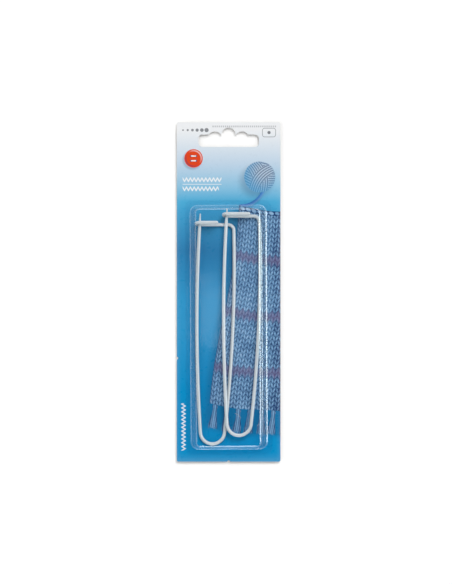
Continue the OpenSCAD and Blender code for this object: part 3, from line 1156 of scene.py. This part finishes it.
# Tall lamps that only shine in glossy surfaces: name, compass angle, lowest and highest elevation, width
# in metres, brightness
STRIPS = (
    ("right_strip", 0, 2, 60, 0.5, 6.0),
    ("foot_strip", -92, 2, 58, 0.4, 5.2),
    ("left_strip", 182, 2, 55, 0.5, 0.65),
    ("corner_strip", 138, 10, 40, 0.2, 7.0),
)
STRIP_REACH = 1.1
STRIP_COLOUR = (0.8, 0.97, 1.0)
# Compass angles and elevations of the two suns, and how wide the second one looks, in degrees
KEY_LAMP = (64, 48)
SIDE_LAMP = (200, 35)
SIDE_WIDTH = 60
# The panel overhead, and the middle of its mirror image on the card, in metres
PANEL_SIZE = (0.031, 0.066)
PATCH_MIDDLE = (-0.0104, -0.0117)
# Half the floor's width in metres, and the height of the camera's sensor in millimetres
FLOOR_HALF = 8.0
SENSOR_HEIGHT = 24


def towards(compass, elevation):
    """The direction of a lamp, from its compass angle and its elevation in degrees."""
    turn_angle, rise_angle = math.radians(compass), math.radians(elevation)
    return Vector((
        math.cos(turn_angle) * math.cos(rise_angle),
        math.sin(turn_angle) * math.cos(rise_angle),
        math.sin(rise_angle),
    ))


def add_lamp(name, kind, away, reach=1.0):
    """A lamp that faces the object from a direction."""
    lamp = new_object(name, bpy.data.lights.new(name, kind))
    lamp.location = away * reach
    lamp.rotation_euler = away.to_track_quat("Z", "Y").to_euler()
    lamp.visible_camera = False
    return lamp


def add_panel(name, away, reach, width, height, brightness):
    """A rectangular lamp that only shines in glossy surfaces."""
    lamp = add_lamp(name, "AREA", away, reach)
    lamp.data.shape = "RECTANGLE"
    lamp.data.size = width
    lamp.data.size_y = height
    lamp.data.energy = brightness * math.pi * width * height
    lamp.data.color = STRIP_COLOUR
    lamp.visible_diffuse = False
    return lamp


def add_lights(studio):
    """Two suns, the strips beside the card and a dim panel that the pocket's flat top mirrors."""
    key = add_lamp("key", "SUN", towards(*KEY_LAMP))
    key.data.energy = studio.key
    key.data.angle = studio.key_width
    side = add_lamp("side", "SUN", towards(*SIDE_LAMP))
    side.data.energy = studio.side
    side.data.angle = math.radians(SIDE_WIDTH)
    side.visible_glossy = False
    for name, compass, low, high, width, brightness in STRIPS:
        half = math.radians(high - low) / 2
        height = 2 * STRIP_REACH * math.tan(half)
        add_panel(name, towards(compass, (low + high) / 2), STRIP_REACH, width, height, brightness)
    overhead = Vector((0, 0, 1))
    panel = add_panel("ceiling_panel", overhead, studio.distance, *PANEL_SIZE, studio.ceiling)
    panel.location.x = 2 * PATCH_MIDDLE[0] - studio.camera_x
    panel.location.y = 2 * PATCH_MIDDLE[1]


def floor_material(studio):
    """Plain matt paper."""
    material, place = new_material("Floor")
    pale = tuple(studio.floor)
    dull = tuple(channel * 0.99 for channel in pale)
    colour = noise(place, "paper").paint_over(pale, dull)
    shader = place.node("ShaderNodeBsdfDiffuse", None, {"Color": colour})
    return finish_material(material, shader)


def studio_world(studio):
    """Light from all round, bright near the horizon and dim overhead."""
    world = bpy.data.worlds.new("studio")
    height = emptied(world, "Generated").parts()[2]
    stops = [(0.0, (0.8,) * 3), (0.5, (0.7,) * 3), (0.8, (0.4,) * 3), (0.92, (0.05,) * 3)]
    glow = height.node("ShaderNodeValToRGB", {"stops": stops}, {"Fac": height})
    inputs = {"Color": glow, "Strength": studio.fill}
    light = height.node("ShaderNodeBackground", None, inputs)
    light.node("ShaderNodeOutputWorld", None, {"Surface": light})
    return world


class STITCH_OT_stage(bpy.types.Operator):
    """Sets up the camera, the floor and the lights"""

    bl_idname = "stitch_pack.stage"
    bl_label = "Set the stage"

    def execute(self, context):
        studio = context.scene.stitch_studio
        scene = context.scene
        scene.view_settings.view_transform = "Standard"
        camera = new_object("camera", bpy.data.cameras.new("camera"))
        camera.data.sensor_fit = "VERTICAL"
        camera.data.sensor_height = SENSOR_HEIGHT
        camera.data.lens = studio.distance * SENSOR_HEIGHT / studio.framed
        camera.location = (studio.camera_x, 0, CARD_FACE + studio.distance)
        scene.camera = camera
        mesh = bpy.data.meshes.new("floor")
        corners = [
            (x * FLOOR_HALF, y * FLOOR_HALF, -studio.floor_gap)
            for x, y in ((-1, -1), (1, -1), (1, 1), (-1, 1))
        ]
        mesh.from_pydata(corners, [], [(0, 1, 2, 3)])
        mesh.materials.append(floor_material(studio))
        floor = new_object("floor", mesh)
        scene.world = studio_world(studio)
        add_lights(studio)
        return {"FINISHED"}


class STITCH_PT_panel(bpy.types.Panel):
    """Lists the steps that build the pack"""

    bl_idname = "STITCH_PT_panel"
    bl_label = "Stitch Holders"
    bl_space_type = "VIEW_3D"
    bl_region_type = "UI"
    bl_category = "Stitch Holders"

    def draw(self, context):
        for step in STEPS:
            self.layout.operator(step.bl_idname)


STEPS = (STITCH_OT_stage, STITCH_OT_card, STITCH_OT_holders, STITCH_OT_blister)
SETTINGS = {
    "stitch_card": CardSettings,
    "stitch_blister": BlisterSettings,
    "stitch_holder": HolderSettings,
    "stitch_studio": StudioSettings,
}
CLASSES = (*SETTINGS.values(), *STEPS, STITCH_PT_panel)


def register():
    for kind in CLASSES:
        bpy.utils.register_class(kind)
    for name, kind in SETTINGS.items():
        setattr(bpy.types.Scene, name, PointerProperty(type=kind))


def unregister():
    for name in SETTINGS:
        delattr(bpy.types.Scene, name)
    for kind in reversed(CLASSES):
        bpy.utils.unregister_class(kind)


def main():
    """Builds everything in order."""
    register()
    bpy.ops.stitch_pack.stage()
    bpy.ops.stitch_pack.card()
    bpy.ops.stitch_pack.holders()
    bpy.ops.stitch_pack.blister()


if __name__ == "__main__":
    main()
